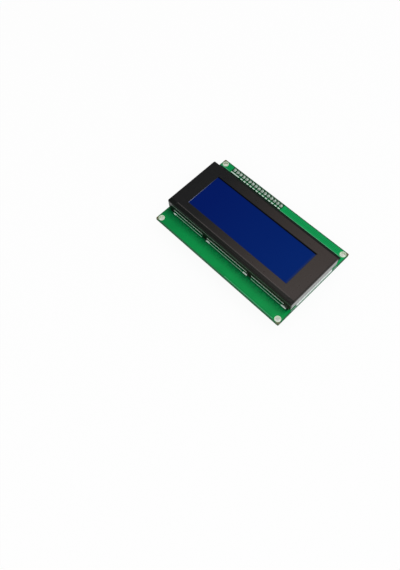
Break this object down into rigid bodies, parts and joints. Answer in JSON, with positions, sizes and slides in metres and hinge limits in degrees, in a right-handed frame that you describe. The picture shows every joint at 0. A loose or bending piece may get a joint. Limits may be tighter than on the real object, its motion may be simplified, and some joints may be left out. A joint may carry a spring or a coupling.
{
  "type": "character lcd module",
  "caption": "Character display module: bezel-framed blue display cell on a green carrier board with corner mounting holes and a serial adapter board soldered behind the header.",
  "frame": {"origin": "centre of the four corner mounting holes, on the display side of the main board", "axes": "+X along the header edge as seen from the front, +Y towards the header edge, +Z out of the display"},
  "size_m": [0.098, 0.06, 0.02],
  "materials": {
    "black_bezel": "satin black paint",
    "black_board": "black solder mask",
    "black_resin": "glossy resin",
    "blue_film": "semi-gloss film",
    "capacitor_tan": "ceramic",
    "cell_glass": "clear",
    "chip_body": "moulded epoxy",
    "chip_end": "tinned",
    "chip_lead": "tinned",
    "clear_guide": "clear acrylic",
    "diffuser": "frosted",
    "elastomer": "striped elastomer",
    "emitter": "phosphor",
    "emitter_board": "white board",
    "gold_pin": "thin gold plate",
    "green_board": "solder-mask gloss",
    "indicator": "clear lens",
    "insulator": "moulded black",
    "rear_film": "film",
    "resistor_black": "glazed ceramic",
    "rotor_blue": "moulded blue",
    "solder": "solder",
    "tinned_pin": "tin plate",
    "tinned_ring": "tinned",
    "trimmer_blue": "moulded blue",
    "white_frame": "moulded white"
  },
  "bodies": {
    "module": {"adapter_board": "black_board", "adapter_capacitors": "capacitor_tan", "adapter_chip_ends": "chip_end", "adapter_joints": "solder", "adapter_resistors": "resistor_black", "address_lands": "solder", "backlight_frame": "white_frame", "backlight_leads": "tinned_pin", "bezel": "black_bezel", "board_capacitors": "capacitor_tan", "board_chip_ends": "chip_end", "board_resistors": "resistor_black", "bus_header_blocks": "insulator", "bus_header_pins": "gold_pin", "contact_strips": "elastomer", "diffuser_film": "diffuser", "driver_blobs": "black_resin", "emitter_board": "emitter_board", "emitters": "emitter", "expander_chip": "chip_body", "expander_leads": "chip_lead", "front_glass": "cell_glass", "front_polariser": "blue_film", "header_joints_front": "solder", "header_joints_rear": "solder", "header_pins": "tinned_pin", "header_strip": "insulator", "hole_rings": "tinned_ring", "jumper_header_blocks": "insulator", "jumper_header_pins": "gold_pin", "lead_solder": "solder", "light_guide": "clear_guide", "main_board": "green_board", "power_led": "indicator", "rear_glass": "cell_glass", "rear_polariser": "rear_film", "transistor_body": "chip_body", "transistor_leads": "chip_lead", "trimmer_body": "trimmer_blue", "trimmer_pins": "tinned_pin"},
    "rotor": {"trimmer_rotor": "rotor_blue"}
  },
  "joints": [
    {"name": "contrast_turn", "type": "hinge", "parent": "module", "child": "rotor", "pos_m": [-0.0316, 0.0209, -0.0109], "axis": [0, 0, 1], "range_deg": [-130, 130]}
  ]
}
